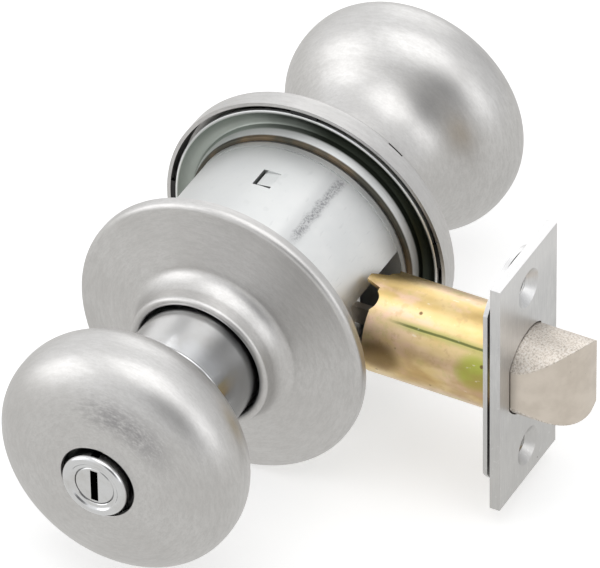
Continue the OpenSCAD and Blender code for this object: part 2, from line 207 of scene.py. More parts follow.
def combine(piece, tools, operation="DIFFERENCE"):
    """Cuts the tools out of a piece, joins them to it, or keeps what they share with it."""
    for tool in tools:
        put_down()
        step = piece.modifiers.new("step", "BOOLEAN")
        step.object, step.operation, step.solver = tool, operation, "EXACT"
        apply(piece, step)
        bpy.data.objects.remove(tool)
    pick_up(piece)
    bpy.ops.object.mode_set(mode="EDIT")
    bpy.ops.mesh.select_all(action="SELECT")
    bpy.ops.mesh.remove_doubles(threshold=4e-6)
    bpy.ops.mesh.dissolve_limited(angle_limit=math.radians(0.4))
    bpy.ops.object.mode_set(mode="OBJECT")
    return piece


def soften(piece, width, segments=2, angle=32):
    """Breaks the sharp edges of a piece and evens out its shading."""
    if width:
        edge = piece.modifiers.new("edge", "BEVEL")
        edge.width, edge.segments = width * MM, segments
        edge.limit_method, edge.angle_limit = "ANGLE", math.radians(angle)
        edge.use_clamp_overlap = True
        edge.harden_normals = False
        apply(piece, edge)
    pick_up(piece)
    bpy.ops.object.shade_smooth_by_angle(angle=math.radians(38))
    even = piece.modifiers.new("even", "WEIGHTED_NORMAL")
    even.keep_sharp, even.weight = True, 60
    apply(piece, even)
    return piece


def arc(cx, cy, radius, start, end, count=8):
    """Points of an arc, by angle in degrees."""
    turns = [math.radians(start + (end - start) * i / count) for i in range(count + 1)]
    return [(cx + radius * math.cos(a), cy + radius * math.sin(a)) for a in turns]


def fit(piece, body, slot, *nodes):
    """Puts a finished piece on its body, in place of the nodes that it stands for."""
    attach(piece, body)
    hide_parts(*nodes)
    piece.data.materials.clear()
    piece.data.materials.append(FINISHES[slot])
    return piece


# ---- Finishes ----


class Wire:
    """One value in a finish, which can be added, multiplied and so on."""

    def __init__(self, finish, socket):
        self.finish, self.socket = finish, socket

    def maths(self, operation, *values):
        return self.finish.node("ShaderNodeMath", {"operation": operation}, dict(enumerate(values)))

    def __add__(self, other):
        return self.maths("ADD", self, other)

    def __radd__(self, other):
        return self.maths("ADD", other, self)

    def __sub__(self, other):
        return self.maths("SUBTRACT", self, other)

    def __rsub__(self, other):
        return self.maths("SUBTRACT", other, self)

    def __mul__(self, other):
        return self.maths("MULTIPLY", self, other)

    def __rmul__(self, other):
        return self.maths("MULTIPLY", other, self)

    def __truediv__(self, other):
        return self.maths("DIVIDE", self, other)

    def __pow__(self, other):
        return self.maths("POWER", self, other)

    def __abs__(self):
        return self.maths("ABSOLUTE", self)

    def __gt__(self, other):
        return self.maths("GREATER_THAN", self, other)

    def step(self, start, end):
        """0 before start and 1 after end, with a soft change between them."""
        return self.finish.node(
            "ShaderNodeMapRange", {"interpolation_type": "SMOOTHSTEP"},
            {0: self, 1: start, 2: end, 3: 0.0, 4: 1.0})


class Finish:
    """A metal finish and its nodes."""

    def __init__(self, name, **shader_values):
        self.material = bpy.data.materials.new(name)
        self.material.use_nodes = True
        self.tree = self.material.node_tree
        self.tree.nodes.clear()
        values = {name.replace("_", " "): value for name, value in shader_values.items()}
        surface = self.node("ShaderNodeBsdfPrincipled", {}, values)
        self.shader = surface.socket.node
        self.node("ShaderNodeOutputMaterial", {}, {"Surface": surface})
        self.place = self.node("ShaderNodeTexCoord", output="Object")
        where = self.node("ShaderNodeSeparateXYZ", {}, {0: self.place}).socket.node
        self.x, self.y, self.z = (Wire(self, where.outputs[i]) * 1000 for i in range(3))

    def node(self, kind, settings=None, inputs=None, output=0):
        """Adds a node: its settings first, then the values or wires of its sockets."""
        node = self.tree.nodes.new(kind)
        for name, value in (settings or {}).items():
            if name == "stops":
                ramp = node.color_ramp.elements
                while len(ramp) < len(value):
                    ramp.new(0.5)
                for element, (position, colour) in zip(ramp, value):
                    element.position, element.color = position, (*colour, 1)
            else:
                setattr(node, name, value)
        for key, value in (inputs or {}).items():
            if isinstance(value, Wire):
                self.tree.links.new(value.socket, node.inputs[key])
            elif isinstance(value, (tuple, list)) and node.inputs[key].type == "RGBA":
                node.inputs[key].default_value = (*value[:3], 1)
            else:
                node.inputs[key].default_value = value
        return Wire(self, node.outputs[output]) if node.outputs else None

    def feed(self, **wires):
        for name, wire in wires.items():
            self.tree.links.new(wire.socket, self.shader.inputs[name.replace("_", " ")])

    def mix(self, factor, first, second):
        """Colour that goes from first to second as the factor goes from 0 to 1."""
        return self.node(
            "ShaderNodeMix", {"data_type": "RGBA"}, {0: factor, 6: first, 7: second}, output=2)

    def noise(self, scale, detail=2.0, roughness=0.5, at=None, w=None):
        """Soft noise, with its scale in features per millimetre."""
        inputs = {"Vector": at or self.place, "Scale": scale if at else scale * 1000,
                  "Detail": detail, "Roughness": roughness}
        settings = {}
        if w is not None:
            settings["noise_dimensions"] = "4D"
            inputs["W"] = w
        return self.node("ShaderNodeTexNoise", settings, inputs)

    def specks(self, scale, size, amount):
        """Small round specks: 1 inside a speck and 0 outside."""
        where = {"Vector": self.place, "Scale": scale * 1000}
        cells = self.node("ShaderNodeTexVoronoi", {}, where)
        chosen = self.node("ShaderNodeTexVoronoi", {}, where, output="Color")
        return (1 - cells.step(size * 0.6, size)) * (chosen > (1 - amount))

    def vector(self, x, y, z):
        return self.node("ShaderNodeCombineXYZ", {}, {0: x, 1: y, 2: z})

    def bump(self, height, depth, strength):
        """Relief: depth is the height in millimetres that 1 stands for."""
        inputs = {"Strength": strength, "Distance": depth * MM, "Height": height}
        return self.node("ShaderNodeBump", {}, inputs)

    def lathe_place(self):
        """Radius from the spindle axis, and the cosine and sine of the place round it."""
        radius = (self.x * self.x + self.z * self.z + 0.0001) ** 0.5
        return radius, self.x / radius, self.z / radius


def satin_chrome():
    """Satin chrome, brushed round the spindle axis, with soft clouding and painted dark reflection smudges.
    """
    f = Finish("satin_chrome", Metallic=1.0, Roughness=0.3)
    radius, cosine, sine = f.lathe_place()
    coarse = f.noise(1.0, 2.0, 0.6, f.vector(radius * 1.5, f.y * 1.5, cosine * 9), sine * 9)
    fine = f.noise(1.0, 2.0, 0.7, f.vector(radius * 4.2, f.y * 4.2, cosine * 26), sine * 26)
    cloud = f.noise(0.055, 3.0, 0.55)
    grain = f.noise(2.6, 1.0, 0.5)
    strokes = coarse * 0.45 + fine * 0.4 + grain * 0.15
    tone = f.mix(cloud.step(0.3, 0.7), (0.575, 0.565, 0.553), (0.630, 0.622, 0.612))
    tone = f.mix(strokes.step(0.36, 0.64) * 0.6, tone, (0.49, 0.482, 0.47))
    # Painted reflection: dark smudges on the outside knob's face, just below where the highlight falls
    face = 1 - f.y.step(-66.0, -58.0)
    turn = abs(cosine - 0.40 + (coarse - 0.5) * 0.5).step(0.15, 0.75)
    painted_reflection_smudge = (1 - turn) * sine.step(0.1, 0.7) * radius.step(12.0, 16.5) * (1 - radius.step(17.0, 22.0)) * face
    tone = f.mix(painted_reflection_smudge * strokes.step(0.25, 0.6) * 0.7, tone, (0.27, 0.262, 0.27))
    f.feed(Base_Color=tone,
           Roughness=0.30 + cloud * 0.07 + strokes * 0.12,
           Normal=f.bump(strokes, 0.03, 0.7))
    return f.material


def polished_chrome():
    """Bright chrome with faint handling marks and wipe lines round the axis."""
    f = Finish("polished_chrome", Metallic=1.0, Roughness=0.12)
    radius, cosine, sine = f.lathe_place()
    lines = f.noise(1.0, 2.0, 0.6, f.vector(radius * 2.6, f.y * 2.6, cosine * 5), sine * 5)
    smudge = f.noise(0.16, 3.0, 0.6)
    tone = f.mix(smudge.step(0.42, 0.72), (0.66, 0.665, 0.67), (0.60, 0.595, 0.585))
    # Painted shade: a dark band along the latch side of the sleeves
    painted_shade_band = (abs(f.y) * -1).step(-43.0, -40.5) * cosine.step(0.30, 0.62) * abs(f.y).step(20.0, 22.0)
    tone = f.mix(painted_shade_band * 0.7, tone, (0.26, 0.265, 0.27))
    # Painted shade: the inside of the plug's slot darkened to near black
    painted_slot_shade = (abs(f.x) * -1).step(-0.92, -0.85) * f.y.step(-PLUG_END + 0.2, -PLUG_END + 0.6)
    tone = f.mix(painted_slot_shade * (1 - f.y.step(-62.0, -60.0)) * 0.95, tone, (0.02, 0.02, 0.02))
    f.feed(Base_Color=tone,
           Roughness=0.13 + smudge.step(0.4, 0.75) * 0.09 + lines * 0.07,
           Normal=f.bump(lines, 0.008, 0.35))
    return f.material


def zinc_plate():
    """Bright zinc plate on steel: pale, a little milky, with fine spangle and handling scratches."""
    f = Finish("zinc_plate", Metallic=0.94, Roughness=0.3)
    cloud = f.noise(0.09, 3.0, 0.6)
    spangle = f.noise(1.3, 3.0, 0.6)
    drawn = f.noise(1.0, 2.0, 0.6, f.vector(f.x * 0.12, f.y * 2.4, f.z * 0.12))
    scratch = f.noise(1.0, 1.0, 0.4, f.vector(f.x * 0.35 + f.y * 0.2, f.y * 0.3 - f.x * 0.2, f.z * 3.2))
    # Rub mark along the top of the shell, left by the press tool
    across = f.x * 0.8870 - f.z * 0.4617
    rub = (1 - abs(across + (f.noise(0.3) - 0.5) * 1.6).step(0.3, 1.5)) * f.z.step(15.0, 20.0)
    rub = rub * f.y.step(-12.0, -6.0) * (1 - f.y.step(11.0, 13.5))
    rub = rub * (0.3 + 0.7 * f.noise(2.2, 3.0, 0.7).step(0.42, 0.6))
    tone = f.mix(cloud.step(0.3, 0.7), (0.78, 0.79, 0.785), (0.84, 0.845, 0.835))
    tone = f.mix(scratch.step(0.66, 0.74) * 0.25, tone, (0.60, 0.61, 0.61))
    # Painted shade: darker over the crown of the shell. A grey smear on both sides of the rub mark
    crown = (1 - across.step(-16.0, 4.0)) * f.z.step(8.0, 16.0)
    tone = f.mix(crown * 0.62, tone, (0.52, 0.53, 0.525))
    smear = (1 - abs(across + 0.6).step(0.6, 3.4)) * f.z.step(15.0, 20.0) * (1 - f.y.step(11.0, 13.5))
    tone = f.mix(smear * 0.35, tone, (0.46, 0.465, 0.47))
    tone = f.mix(rub * 0.85, tone, (0.30, 0.30, 0.31))
    # Painted shade in the groove near the plate's rim: green-grey on one side and near black towards the
    # latch. Dark brown where the plate meets the shell
    radius, cosine, _ = f.lathe_place()
    painted_groove_shade = radius.step(26.2, 26.5) * (1 - radius.step(30.1, 30.25)) * f.y.step(17.0, 17.6)
    depth = (cosine + (cloud - 0.5) * 0.5).step(-0.75, 0.25)
    tone = f.mix(painted_groove_shade, tone, f.mix(depth, (0.36, 0.39, 0.36), (0.030, 0.036, 0.027)))
    well = radius.step(25.03, 25.06) * f.y.step(14.3, 14.5) * (1 - f.y.step(15.4, 15.8))
    well = well + (1 - radius.step(24.4, 24.8)) * f.y.step(18.0, 18.4) * (1 - f.y.step(19.2, 19.6))
    tone = f.mix(well * 0.95, tone, f.mix(cloud.step(0.4, 0.6), (0.05, 0.045, 0.03), (0.15, 0.10, 0.05)))
    f.feed(Base_Color=tone,
           Roughness=0.36 + cloud * 0.08 + spangle * 0.10 + rub * 0.2,
           Normal=f.bump(spangle * 0.6 + drawn * 0.4, 0.02, 0.5))
    return f.material


def yellow_zinc():
    """Yellow zinc dichromate on the latch tube: gold with drifting pink, green and brown, and a seam."""
    f = Finish("yellow_zinc", Metallic=1.0, Roughness=0.3)
    flow = f.vector(f.x * 0.05, f.y * 0.11, f.z * 0.11)
    drift = f.noise(1.0, 3.0, 0.55, flow)
    second = f.noise(1.0, 3.0, 0.6, f.vector(f.x * 0.09 + 7, f.y * 0.16, f.z * 0.16))
    tone = f.node("ShaderNodeValToRGB", {"stops": [
        (0.30, (0.50, 0.34, 0.13)), (0.43, (0.68, 0.50, 0.22)), (0.52, (0.74, 0.57, 0.30)),
        (0.62, (0.77, 0.57, 0.38)), (0.74, (0.62, 0.55, 0.24))]}, {0: drift})
    tone = f.mix(second.step(0.54, 0.68) * 0.65, tone, (0.80, 0.55, 0.45))
    mottle = f.noise(0.42, 3.0, 0.65)
    tone = f.mix(mottle.step(0.54, 0.68) * 0.35, tone, (0.56, 0.50, 0.20))
    tone = f.mix((1 - mottle.step(0.32, 0.46)) * 0.4, tone, (0.52, 0.36, 0.18))
    # Green bloom near the faceplate and brown stain near the open end, both low on the near side
    low_side = f.z.step(8.5, 1.0)
    near = f.y.step(-1.0, -6.5)
    bloom = (1 - ((f.x - 53.4) * (f.x - 53.4) / 22 + (f.z - 3.0) * (f.z - 3.0) / 14).step(0.25, 1.5)) * near
    tone = f.mix(bloom * (0.6 + second.step(0.28, 0.5) * 0.35), tone, (0.42, 0.50, 0.08))
    stain = (1 - ((f.x - 31.5) * (f.x - 31.5) / 30 + (f.z + 0.5) * (f.z + 0.5) / 14).step(0.2, 1.5)) * near
    tone = f.mix(stain * drift.step(0.25, 0.5) * 0.85, tone, (0.27, 0.17, 0.07))
    belly = low_side * near * f.x.step(34.0, 39.0) * second.step(0.35, 0.6)
    tone = f.mix(belly * 0.6, tone, (0.44, 0.27, 0.12))
    # Butt seam of the rolled tube, with the plating darker along it
    off = abs(f.y + f.z + (f.noise(0.12) - 0.5) * 0.8)
    seam_side = f.y.step(-2.0, -4.0) * f.z.step(2.0, 4.0) * f.x.step(31.0, 38.0)
    seam = (1 - off.step(0.18, 0.55)) * seam_side
    halo = (1 - off.step(0.3, 2.2)) * seam_side * drift.step(0.25, 0.6)
    tone = f.mix(halo * 0.7, tone, (0.36, 0.40, 0.10))
    tone = f.mix(seam * 0.85, tone, (0.10, 0.12, 0.04))
    scuffs = f.noise(1.0, 2.0, 0.5, f.vector(f.x * 0.45, f.y * 0.9 + 3, f.z * 0.9)).step(0.69, 0.76)
    tone = f.mix(scuffs * 0.45, tone, (0.86, 0.80, 0.66))
    spots = f.specks(0.22, 0.13, 0.32)
    tone = f.mix(spots * 0.8, tone, (0.16, 0.08, 0.04))
    drawn = f.noise(1.0, 2.0, 0.6, f.vector(f.x * 0.16, f.y * 2.2, f.z * 2.2))
    f.feed(Base_Color=tone,
           Roughness=0.27 + second * 0.12 + spots * 0.2,
           Normal=f.bump(drawn - seam * 2.2, 0.02, 0.55))
    return f.material


def satin_steel():
    """Satin steel of the faceplate: brushed up and down, with pits, scuffs and dull spots."""
    f = Finish("satin_steel", Metallic=1.0, Roughness=0.34)
    brushed = f.noise(1.0, 2.0, 0.65, f.vector(f.x * 2.5, f.y * 3.4, f.z * 0.22))
    cloud = f.noise(0.12, 3.0, 0.6)
    pits = f.specks(0.45, 0.12, 0.22)
    scuff = f.noise(1.0, 2.0, 0.5, f.vector(f.x, f.y * 0.9 + f.z * 0.5, f.z * 0.8 - f.y * 1.4))
    scuff = scuff.step(0.63, 0.72)
    tone = f.mix(cloud.step(0.3, 0.7), (0.60, 0.60, 0.60), (0.68, 0.68, 0.675))
    tone = f.mix(brushed.step(0.35, 0.7) * 0.45, tone, (0.53, 0.53, 0.535))
    # Painted light and shade: darker towards the lower end and brighter towards the upper one
    tone = f.mix((1 - f.z.step(-20.0, 16.0)) * 0.45, tone, (0.46, 0.445, 0.42))
    tone = f.mix(f.z.step(14.0, 26.0) * 0.4, tone, (0.86, 0.85, 0.84))
    tone = f.mix(scuff * 0.35, tone, (0.74, 0.735, 0.73))
    tone = f.mix(pits * 0.75, tone, (0.20, 0.18, 0.17))
    f.feed(Base_Color=tone,
           Roughness=0.30 + brushed * 0.12 + pits * 0.3,
           Normal=f.bump(brushed - pits * 1.5, 0.016, 0.6))
    return f.material


def satin_nickel():
    """Nickel plated bolt: grainy as moulded on its round sides, smoother on its faces."""
    f = Finish("satin_nickel", Metallic=1.0, Roughness=0.36)
    from_axis = (f.y * f.y + f.z * f.z + 0.0001) ** 0.5
    rounded = from_axis.step(9.25, 9.5)
    grain = f.noise(2.4, 3.0, 0.75)
    speckle = f.noise(4.2, 2.0, 0.6)
    cloud = f.noise(0.2, 3.0, 0.6)
    pits = f.specks(0.9, 0.16, 0.25)
    tone = f.mix(cloud.step(0.3, 0.7), (0.63, 0.565, 0.49), (0.72, 0.65, 0.57))
    tone = f.mix(rounded * grain.step(0.45, 0.62) * 0.7, tone, (0.80, 0.775, 0.74))
    tone = f.mix(rounded * (1 - grain.step(0.36, 0.50)) * 0.65, tone, (0.33, 0.30, 0.27))
    tone = f.mix(pits * 0.35, tone, (0.36, 0.31, 0.27))
    relief = grain * rounded + speckle * 0.12
    f.feed(Base_Color=tone,
           Roughness=0.34 + rounded * 0.08 + speckle * 0.10,
           Normal=f.bump(relief, 0.11, 0.7))
    return f.material


def spring_steel():
    """Drawn wire and blued stampings: darker, with oil film and tool lines."""
    f = Finish("spring_steel", Metallic=1.0, Roughness=0.3)
    film = f.noise(0.5, 3.0, 0.6)
    lines = f.noise(3.0, 2.0, 0.6)
    tone = f.mix(film.step(0.35, 0.65), (0.40, 0.40, 0.41), (0.52, 0.515, 0.50))
    # Painted shade: the clips round the mounting plate darkened to near black, so the gap at the rose's rim
    # stays dark
    painted_clip_shade = f.lathe_place()[0].step(28.4, 28.6) * f.y.step(15.0, 16.0)
    tone = f.mix(painted_clip_shade * 0.96, tone, (0.02, 0.02, 0.02))
    f.feed(Base_Color=tone, Roughness=0.24 + film * 0.16, Normal=f.bump(lines, 0.012, 0.5))
    return f.material


FINISHES = {make.__name__: make() for make in (
    satin_chrome, polished_chrome, zinc_plate, yellow_zinc, satin_steel, satin_nickel, spring_steel)}


# ---- Roses ----


def rose_outline(side):
    """Pressed sheet: rolled rim, shallow cone, and a collar with a rounded lip. Inside, the rim is deeper."""
    wall, foot = 0.8, 19.5
    cone_h, rise = (5.2, 1.2) if side > 0 else (2.6, 2.6)

    def cone(drop):
        return [(ROSE_R - 1.1 + (foot - ROSE_R + 1.1) * i / 14, cone_h + rise * (i / 14) ** 1.2 - drop)
                for i in range(15)]

    def flank(inset):
        turns = [math.radians(a) for a in range(7, 76, 6)]
        return [(foot - inset - 3.55 * math.sin(a), cone_h + rise - inset + 5.6 * (1 - math.cos(a)))
                for a in turns]

    return (
        [(ROSE_R, 0)] + arc(ROSE_R - 1.4, cone_h - 1.4, 1.4, 0, 70, 10) + cone(0)
        + flank(0) + arc(14.95, ROSE_TOP - 1, 1, 0, 180, 14)
        + [(13.95, ROSE_TOP - 1.8), (14.7, ROSE_TOP - 1.8), (14.7, ROSE_TOP - 1.1), (15.15, ROSE_TOP - 1.3)]
        + flank(wall)[::-1] + cone(wall)[::-1] + [(ROSE_R - 0.8, cone_h - 1.5), (ROSE_R - 0.8, 0)])


def rose(node, side):
    outline = [(r, DOOR + d) for r, d in rose_outline(side)]
    piece = turned(node + "_cover", outline, side, steps=192)
    if side > 0:
        # Slot for the tool that springs the rose off its plate, in the rim
        turn = math.radians(54)
        inner = Vector((math.cos(turn), 0, math.sin(turn))) * (ROSE_R - 1.4)
        tool = box("slot_tool", (-1.9, -0.22, 0), (1.9, 0.22, 3))
        tool.rotation_euler = (0, math.pi / 2 - turn, 0)
        tool.location = (inner + Vector((0, DOOR + 4.1, 0))) * MM
        pick_up(tool)
        combine(piece, [settle(tool, "slot_tool")])
    soften(piece, 0.12, 2, 40)
    return fit(piece, "chassis", "satin_chrome", node)


rose("outside_rose", -1)
rose("inside_rose", 1)


# ---- Knobs ----

FRONT, BACK = 2.6, 2.2  # how square the two halves of a knob are


def dome(radius, depth, power, start, end, count):
    """Half of the knob's flattened ball, as (radius, distance from its widest part)."""
    turns = [math.radians(start + (end - start) * i / count) for i in range(count + 1)]
    return [(radius * math.cos(a) ** (2 / power), depth * math.sin(a) ** (2 / power)) for a in turns]


def dome_angle(radius, narrowed_to, power):
    return math.degrees(math.acos((narrowed_to / radius) ** (power / 2)))


def catch_tool(side):
    """Tool for the hole of a catch, underneath: inside in the knob's neck, outside in the sleeve."""
    y = CATCH_Y[side]
    return rod("catch_tool", 2.3, (0, y, -18), (0, y, -6), 48)


def knob(node, body, side):
    wall, flare_r, neck_r = 1.4, 21.0, 14.8
    inner_r, middle, start = KNOB_R - wall, KNOB_MID[side], NECK[side]
    back = [(r, middle - d) for r, d in dome(KNOB_R, 15, BACK, dome_angle(KNOB_R, flare_r, BACK), 0, 30)]
    front = [(r, middle + d) for r, d in dome(
        KNOB_R, 12, FRONT, 1.5, dome_angle(KNOB_R, HOLE_R + 0.35, FRONT), 40)]
    hole = [(HOLE_R + 0.12, front[-1][1] + 0.02), (HOLE_R, front[-1][1] - 0.14)]
    inner = [(r, middle + d) for r, d in dome(
        inner_r, 10.6, FRONT, dome_angle(inner_r, HOLE_R, FRONT), 0, 24)]
    inner += [(r, middle - d) for r, d in dome(
        inner_r, 13.6, BACK, 2, dome_angle(inner_r, flare_r, BACK), 18)]
    rise = back[0][1] - start
    power = 1.48 * rise / (flare_r - neck_r)
    flare = [(neck_r + (flare_r - neck_r) * (i / 18) ** power, start + rise * i / 18) for i in range(18)]
    outline = flare + back + front + hole + inner + [(SHANK_R, back[0][1] + wall), (SHANK_R, start)]
    piece = turned(node + "_shell", outline, side, steps=192)
    if side > 0:
        combine(piece, [catch_tool(side)])
    soften(piece, 0.12, 2, 45)
    return fit(piece, body, "satin_chrome", node)


def shank(node, body, side):
    """Polished sleeve with a lip, and the catch hole underneath."""
    inner, end = SHANK_R - 1.2, SHANK_END[side]
    outline = [(inner, SHANK_START), (SHANK_R, SHANK_START), (SHANK_R, end - 1.5),
               (SHANK_R + 0.15, end - 1.25)]
    outline += arc(LIP_R - 0.45, end - 0.6, 0.45, -70, 70, 8) + [(LIP_R - 0.5, end), (inner, end)]
    piece = turned(node + "_sleeve", outline, side, steps=160)
    if side < 0:
        combine(piece, [catch_tool(side)])
    soften(piece, 0.1, 2, 45)
    return fit(piece, body, "polished_chrome", node)


def bezel(node, body, side):
    """Ring in the face of the knob, crowned on its outer edge."""
    start, end = BEZEL_START[side], BEZEL_END[side]
    outline = [(4.45, start), (BEZEL_R, start)] + arc(BEZEL_R - 0.9, end - 0.9, 0.9, 0, 90, 12) + [
        (5.75, end), (5.55, end - 0.12), (5.35, end - 0.42), (5.2, end - 0.5), (4.6, end - 0.52),
        (4.45, end - 0.66)]
    piece = turned(node + "_ring", outline, side, steps=128)
    soften(piece, 0, 1)
    return fit(piece, body, "polished_chrome", node)


for door_side, sign in (("outside", -1), ("inside", 1)):
    knob(door_side + "_knob", door_side + "_knob", sign)
    shank(door_side + "_knob_shank", door_side + "_knob", sign)
bezel("emergency_bezel", "outside_knob", -1)
bezel("push_button_bezel", "inside_knob", 1)


def emergency_plug():
    """Plug with a coin slot; it turns inside its ring."""
    start = -high("emergency_turn").y
    wide = high("emergency_turn").x
    outline = [(0, start), (wide, start), (wide, start + 0.9), (4.4, start + 0.9), (4.4, PLUG_END - 0.25),
               (4.15, PLUG_END), (0, PLUG_END)]
    piece = turned("emergency_turn_plug", outline, -1, steps=96)
    half_w, half_h, deep = 0.825, 3.75, 4.4
    combine(piece, [box("slot_tool", (-half_w, -PLUG_END - 1, -half_h), (half_w, deep - PLUG_END, half_h))])
    soften(piece, 0.07, 2, 40)
    return fit(piece, "emergency_turn", "polished_chrome", "emergency_turn")


def button():
    """Round push button, crowned, on a flange that stops it in the knob."""
    flange = high("push_button").x
    outline = [(0, BUTTON_FLOOR), (flange, BUTTON_FLOOR), (flange, BUTTON_FLOOR + 1.7),
               (4.3, BUTTON_FLOOR + 1.7), (4.3, BUTTON_END - 1.1)]
    outline += arc(3.2, BUTTON_END - 1.1, 1.1, 8, 82, 9)
    outline += [(2.6, BUTTON_END - 0.03), (1.4, BUTTON_END - 0.18), (0, BUTTON_END - 0.24)]
    piece = turned("push_button_cap", outline, 1, steps=96)
    soften(piece, 0.08, 2, 40)
    return fit(piece, "push_button", "polished_chrome", "push_button")


emergency_plug()
button()


# ---- Chassis ----


def chassis_shell():
    """Sheet shell with rolled edges, a lanced tab on top and the mouth for the latch."""
    wall, mouth = 1.2, 7.6
    inner = SHELL_R - wall
    outline = [(inner, -SHELL_END), (SHELL_R - 0.35, -SHELL_END), (SHELL_R, -SHELL_END + 0.35),
               (SHELL_R, SHELL_END - 0.35), (SHELL_R - 0.35, SHELL_END), (inner, SHELL_END)]
    piece = turned("chassis_shell", outline, 1, steps=180)
    combine(piece, [
        box("mouth_tool", (10, -mouth, -mouth), (SHELL_R + 2, SHELL_END + 2, mouth)),
        box("window_tool", (-2.6, 0, inner - 2), (1.4, 5.2, SHELL_R + 1))])
    soften(piece, 0.1, 2, 40)
    fit(piece, "chassis", "zinc_plate", "housing_shell")
    tab = box("lanced_tab", (-2.05, 0.8, SHELL_R - wall - 0.1), (1.42, 5.22, SHELL_R - 0.1))
    bpy.ops.object.mode_set(mode="EDIT")
    sheet = bmesh.from_edit_mesh(tab.data)
    for vertex in sheet.verts:
        vertex.select = vertex.co.x < 0
    sheet.select_flush_mode()
    bmesh.update_edit_mesh(tab.data)
    bpy.ops.transform.translate(value=(0, 0, -0.5 * MM))
    bpy.ops.mesh.select_all(action="SELECT")
    bpy.ops.mesh.subdivide(number_cuts=3)
    bpy.ops.object.mode_set(mode="OBJECT")
    soften(tab, 0.12, 3)
    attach(tab, "chassis")
    tab.data.materials.append(FINISHES["zinc_plate"])


def mounting_dish():
    """Stepped round plate that the two screws pull on to the door."""
    top, screw_z, screw_hole_r = 2.2, 15.2, 2.05
    outline = [(30, 0), (30.45, 0), (PLATE_R, 0.15), (PLATE_R, 0.85), (27.6, 2.08), (27.2, top),
               (12.6, top), (12.6, 1.2), (24.5, 1.2), (24.7, 1.0), (24.7, -2.6), (24.9, -2.8), (25.5, -2.8),
               (25.75, -2.62), (26.7, 0.9), (26.85, 1.08), (27.2, 1.3), (27.9, 1.42), (28.6, 1.2),
               (29.2, 0.85), (29.7, 0.4)]
    piece = turned("mounting_dish", [(r, DOOR + d) for r, d in outline], 1, steps=180)
    combine(piece, [rod("hole_tool", screw_hole_r, (0, DOOR - 1, z), (0, DOOR + 4, z), 40)
                    for z in (-screw_z, screw_z)])
    soften(piece, 0.08, 2, 40)
    return fit(piece, "chassis", "zinc_plate", "mounting_plate")


chassis_shell()
mounting_dish()


# ---- Latch ----


def tube():
    """Rolled tube: scallops and prongs at the chassis end grip the retractor's shell."""
    inner = TUBE_R - TUBE_WALL
    start = 27.7
    outline = [(inner, PRONG), (TUBE_R, PRONG), (TUBE_R, FACE_BACK), (inner, FACE_BACK)]
    piece = turned("latch_tube_body", outline, axis="X", steps=144)
    tools = []
    for s in (-1, 1):
        # Beyond the body's end only a tapered prong stays, above and below
        edge = [Vector((PRONG - 2, s * 0.55, 0)), Vector((PRONG, s * 0.9, 0)), Vector((start, s * 2.2, 0)),
                Vector((start, s * 14, 0)), Vector((PRONG - 2, s * 14, 0))]
        tools.append(prism("prong_tool", edge, 14))
        tools.append(rod("scallop_tool", 2.2, (start - 1.2, s * 5, -14), (start - 1.2, s * 5, 14), 40))
    combine(piece, tools)
    soften(piece, 0.1, 2, 40)
    return fit(piece, "chassis", "yellow_zinc", "latch_tube")


def bolt_window(x0, x1, gap):
    """Tool with the bolt's own section, a little larger."""
    tool = rod("window_tool", BOLT_R + gap, (x0, 0, 0), (x1, 0, 0), 128)
    return combine(tool, [box("flat_tool", (x0 - 1, BOLT_LOW.y - gap, -20), (x1 + 1, BOLT_HIGH.y + gap, 20))],
                   "INTERSECT")


def face():
    """Faceplate with two countersunk holes and the bolt's window."""
    piece = box("faceplate_body", (FACE_BACK, -FACE.y, -FACE.z), FACE)
    tools = [bolt_window(FACE_BACK - 1, FACE.x + 1, 0.3)]
    for z in (-SCREW_Z, SCREW_Z):
        tools.append(rod("hole_tool", 2.3, (FACE_BACK - 1, 0, z), (FACE.x + 1, 0, z), 72))
        tools.append(rod("sink_tool", 4.35, (FACE.x + 0.02, 0, z), (FACE.x - 1.9, 0, z), 72, 2.3))
    combine(piece, tools)
    soften(piece, 0.22, 3, 30)
    return fit(piece, "chassis", "satin_steel", "faceplate")


def backing():
    """Round ended plate behind the faceplate."""
    end_r = 14
    x0, x1 = BACK_PLATE_LOW.x, BACK_PLATE_HIGH.x
    centre = BACK_PLATE_HIGH.z - end_r
    reach = math.degrees(math.acos(BACK_PLATE_HIGH.y / end_r))
    top = [(y, centre + z) for y, z in arc(0, 0, end_r, reach, 180 - reach, 40)]
    ring = top + [(-y, -z) for y, z in top]
    # The outline is drawn flat and then stood up on the latch axis
    piece = prism("latch_backing", [Vector((-z, y, 0)) for y, z in ring], (x1 - x0) / 2)
    piece.rotation_euler = (0, math.pi / 2, 0)
    piece.location = ((x0 + x1) / 2 * MM, 0, 0)
    pick_up(piece)
    settle(piece, "latch_backing")
    tools = [rod("tube_tool", TUBE_R, (x0 - 1, 0, 0), (x1 + 1, 0, 0), 144)]
    tools += [rod("hole_tool", 3.0, (x0 - 1, 0, z), (x1 + 1, 0, z), 64) for z in (-SCREW_Z, SCREW_Z)]
    combine(piece, tools)
    soften(piece, 0.1, 2, 30)
    return fit(piece, "chassis", "satin_steel", "latch_back_plate")


